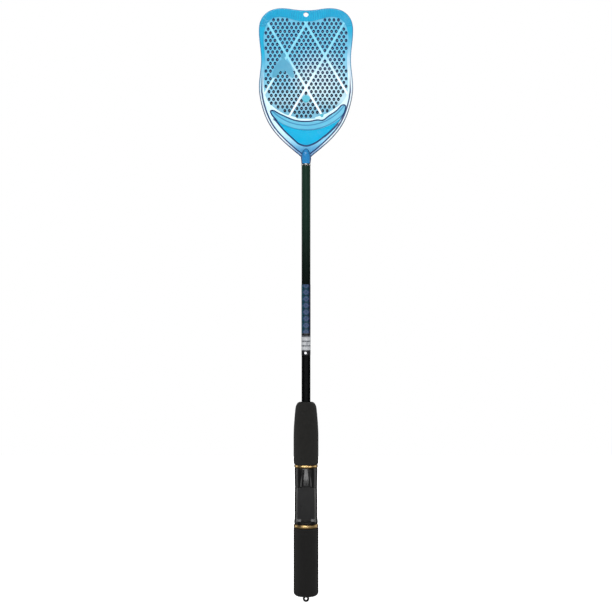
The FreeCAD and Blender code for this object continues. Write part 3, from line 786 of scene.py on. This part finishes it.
def roughen(piece, outer_radius, depth):
    """Presses shallow, random hollows into the outer skin; nothing moves outwards."""
    for vertex in piece.data.vertices:
        place = vertex.co
        radius = math.hypot(place.x, place.y)
        if radius < outer_radius:
            continue
        slow = noise.noise(place * 160.0)
        fast = noise.noise(place * 700.0)
        dent = depth * (0.5 + 0.3 * slow + 0.4 * fast)
        share = max(0.0, dent) / radius
        vertex.co.x -= place.x * share
        vertex.co.y -= place.y * share
    piece.data.update()


def finish_grip(piece, node, body, material):
    """Gives a grip its foam, its body and its slot, in place of the CAD node."""
    piece.data.materials.append(material)
    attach(piece, body)
    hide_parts(node)


GRIP_GAP = 0.05 * MM
DENT_DEPTH = 0.12 * MM
SHOULDER_STEPS = 16


def rear_grip():
    """Straight rear grip with a round butt end, open above for the seat's sleeve and
    the shaft, and bored through below for the eye's screw."""
    low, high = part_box("rear_grip_foam")
    radius = high.x
    screw_hole = 1.7 * MM
    shaft = SHAFT_HIGH.x + GRIP_GAP
    sleeve_radius = 12.15 * MM
    sleeve_z = SEAT_LOW.z - GRIP_GAP
    shaft_end_z = SHAFT_LOW.z - GRIP_GAP
    corner = 4.4 * MM
    turns = [math.pi / 2 * n / 10 for n in range(10)]
    loop = straight_line((screw_hole, low.z), (radius - corner, low.z), 0.6 * MM)
    loop += [(radius - corner + corner * math.sin(a), low.z + corner - corner * math.cos(a)) for a in turns]
    top_corner = 0.6 * MM
    top_z = high.z - top_corner
    loop += straight_line((radius, low.z + corner), (radius, top_z), 0.45 * MM)
    loop += [(radius, top_z), (radius - 0.2 * MM, high.z - 0.15 * MM), (radius - top_corner, high.z)]
    loop += [(sleeve_radius, high.z), (sleeve_radius, sleeve_z), (shaft, sleeve_z)]
    loop += [(shaft, shaft_end_z), (screw_hole, shaft_end_z)]
    piece = lathe("rear_grip", loop)
    roughen(piece, 12.6 * MM, DENT_DEPTH)
    material = foam("grip_foam_rear", colour(9, 8, 8), colour(17, 16, 15))
    finish_grip(piece, "rear_grip_foam", "handle", material)


# The foregrip's outline as shares of its radius and of its length, from below.
FRONT_GRIP_OUTLINE = [
    (0.921, 0.0),
    (0.975, 0.012),
    (0.995, 0.045),
    (1.0, 0.25),
    (1.0, 0.44),
    (0.978, 0.59),
    (0.922, 0.75),
    (0.864, 0.87),
    (0.807, 0.935),
    (0.68, 0.982),
    (0.543, 1.0),
]


def front_grip():
    """Tapered foregrip with round shoulders, hollow for the nut and the thread."""
    low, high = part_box("foregrip_foam")
    radius = high.x
    length = high.z - low.z
    shaft = SHAFT_HIGH.x + 0.2 * MM
    cavity = 9.9 * MM
    cavity_z = SEAT_HIGH.z + 2.0 * MM
    nut_radius = NUT_HIGH.x + GRIP_GAP
    nut_z = NUT_HIGH.z + GRIP_GAP
    outline = [(radius * r, low.z + length * h) for r, h in FRONT_GRIP_OUTLINE]
    loop = [(min(r, radius), z) for r, z in smooth_line(outline, SHOULDER_STEPS)]
    loop += [(shaft, high.z), (shaft, cavity_z), (cavity, cavity_z)]
    loop += [(cavity, nut_z), (nut_radius, nut_z), (nut_radius, low.z)]
    piece = lathe("foregrip", loop)
    roughen(piece, 12.2 * MM, DENT_DEPTH)
    material = foam("grip_foam_front", colour(14, 14, 12), colour(25, 24, 22))
    finish_grip(piece, "foregrip_foam", "foregrip", material)


# ---------------------------------------------------------------- studio


def floor():
    """Plain pale floor just below the eye. It glows to the camera, so that it is as
    white as the surroundings, and it neither shows in reflections nor casts a shadow."""
    half = 1.5
    glow_to_camera = 0.65
    glow_to_all = 0.1
    mesh = bpy.data.meshes.new("floor")
    corners = [(-half, -half), (half, -half), (half, half), (-half, half)]
    mesh.from_pydata([(x, y, LOWEST_Z) for x, y in corners], [], [(0, 1, 2, 3)])
    material, tree = new_material("floor_white")
    spot, _, _, _ = tree.place()
    tint = tree.blend(tree.speckle(spot, 3.0), colour(250, 250, 250), colour(254, 254, 254))
    seen = tree.add("LightPath").outputs["Is Camera Ray"]
    glow = tree.math("MULTIPLY_ADD", seen, glow_to_camera, glow_to_all)
    tree.principled(
        Base_Color=tint, Roughness=0.9, Specular_IOR_Level=0.0, Emission_Color=tint, Emission_Strength=glow
    )
    mesh.materials.append(material)
    piece = bpy.data.objects.new("floor", mesh)
    piece.visible_glossy = False
    piece.visible_shadow = False
    bpy.context.scene.collection.objects.link(piece)


def surroundings():
    """White as the camera sees it, soft light on the object, and dim in reflections."""
    world = bpy.data.worlds.new("studio")
    bpy.context.scene.world = world
    world.use_nodes = True
    tree = Nodes(world.node_tree)
    rays = tree.add("LightPath")
    seen = tree.add("Background", Color=(1, 1, 1, 1), Strength=1.0)
    light = tree.add("Background", Color=(0.97, 0.99, 1, 1), Strength=0.3)
    mirrored = tree.add("Background", Color=(1, 1, 1, 1), Strength=0.05)
    soft = tree.add("MixShader", Fac=rays.outputs["Is Glossy Ray"])
    tree.feed(soft.inputs[1], light.outputs[0])
    tree.feed(soft.inputs[2], mirrored.outputs[0])
    full = tree.add("MixShader", Fac=rays.outputs["Is Camera Ray"])
    tree.feed(full.inputs[1], soft.outputs[0])
    tree.feed(full.inputs[2], seen.outputs[0])
    output = tree.add("OutputWorld")
    tree.feed(output.inputs["Surface"], full.outputs[0])


def softbox(name, place, target, width, height, power):
    """Rectangular light that faces its target, and isn't seen by the camera."""
    light = bpy.data.lights.new(name, "AREA")
    light.shape = "RECTANGLE"
    light.size, light.size_y = width, height
    light.energy = power
    lamp = bpy.data.objects.new(name, light)
    lamp.location = place
    lamp.rotation_euler = (Vector(target) - Vector(place)).to_track_quat("-Z", "Y").to_euler()
    lamp.visible_camera = False
    bpy.context.scene.collection.objects.link(lamp)


def lights():
    """A key light from above, a small glare on the mesh, three wide dim cards for the
    shine of shaft, hood and seat, and side and back lights for the other sides."""
    head = (0.0, 0.0, MIDDLE_Z + 0.22)
    middle = (0.0, 0.0, MIDDLE_Z)
    softbox("key", (-0.25, -1.1, 1.55), head, 1.2, 0.8, 17.0)
    softbox("glare", (0.05, -1.6, 0.84), head, 0.12, 0.1, 0.5)
    softbox("shaft_card", (0.0, -1.6, 0.57), (0.0, 0.0, 0.57), 2.9, 0.14, 1.1)
    softbox("hood_card", (0.12, -0.6, 0.222), (0.12, 0.0, 0.14), 1.5, 0.06, 2.8)
    softbox("seat_card", (0.0, -1.6, -0.12), (0.0, 0.0, -0.12), 2.9, 0.36, 0.8)
    softbox("left", (-1.7, 0.5, 0.4), middle, 0.8, 1.2, 4.0)
    softbox("right", (1.7, 0.5, 0.4), middle, 0.8, 1.2, 4.0)
    softbox("back", (0.3, 1.6, 1.2), middle, 1.2, 1.0, 10.0)


def camera():
    """At the middle of the object's height, straight in front of the striking face."""
    distance = 1.55
    shown_height = 0.6854
    eye_z = MIDDLE_Z - 1.1 * MM
    data = bpy.data.cameras.new("camera")
    data.sensor_fit = "HORIZONTAL"
    data.lens = data.sensor_width / 2 / (shown_height / 2 / distance)
    lens = bpy.data.objects.new("camera", data)
    lens.location = (0, -distance, eye_z)
    lens.rotation_euler = (math.pi / 2, 0, 0)
    bpy.context.scene.collection.objects.link(lens)
    bpy.context.scene.camera = lens


dress_head()
dress_handle()
rear_grip()
front_grip()
floor()
surroundings()
lights()
camera()
bpy.context.scene.view_settings.view_transform = "Standard"
